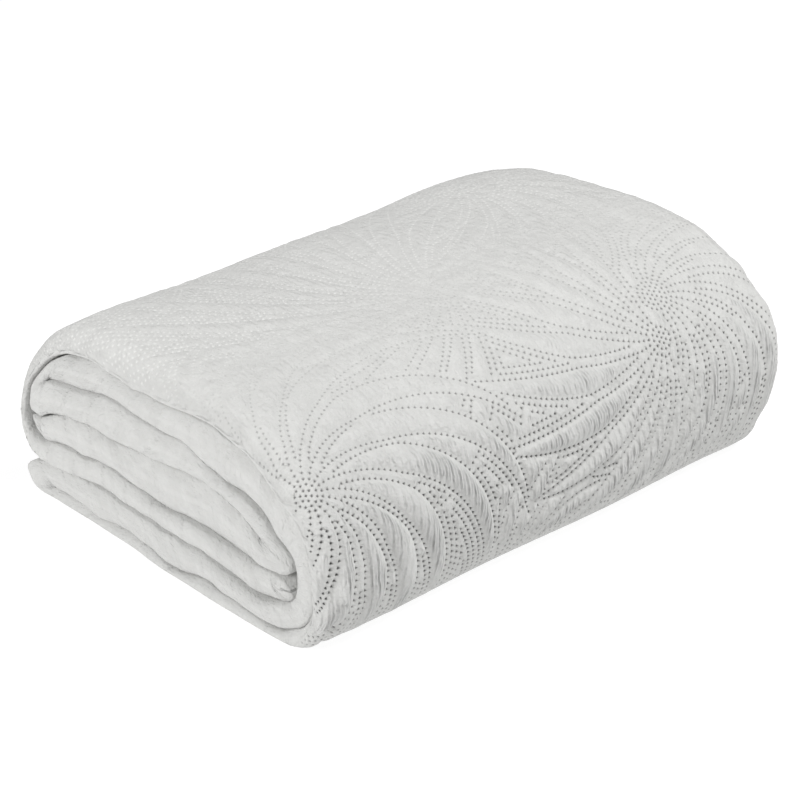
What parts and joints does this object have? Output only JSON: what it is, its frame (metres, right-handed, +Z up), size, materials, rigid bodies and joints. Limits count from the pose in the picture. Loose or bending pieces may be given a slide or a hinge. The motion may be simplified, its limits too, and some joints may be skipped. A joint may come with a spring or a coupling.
{
  "type": "folded quilted bedspread",
  "caption": "Quilted bedspread folded into a soft rectangular bundle, wrapped once around itself, with a raised palm leaf pattern on the outer face.",
  "frame": {"origin": "middle of the bundle's box, on the surface it rests on", "axes": "+Z up; Y along the bundle, from the near end face at -Y, where the folds show, to the far one at +Y; +X towards the wrapped front side"},
  "size_m": [0.3282, 0.4126, 0.1569],
  "materials": {
    "cover": "brushed polyester microfibre, off-white, quilted by ultrasonic welding in rows of small round dots; soft and matt"
  },
  "bodies": {
    "root": {"bedspread": "cover"}
  },
  "joints": []
}
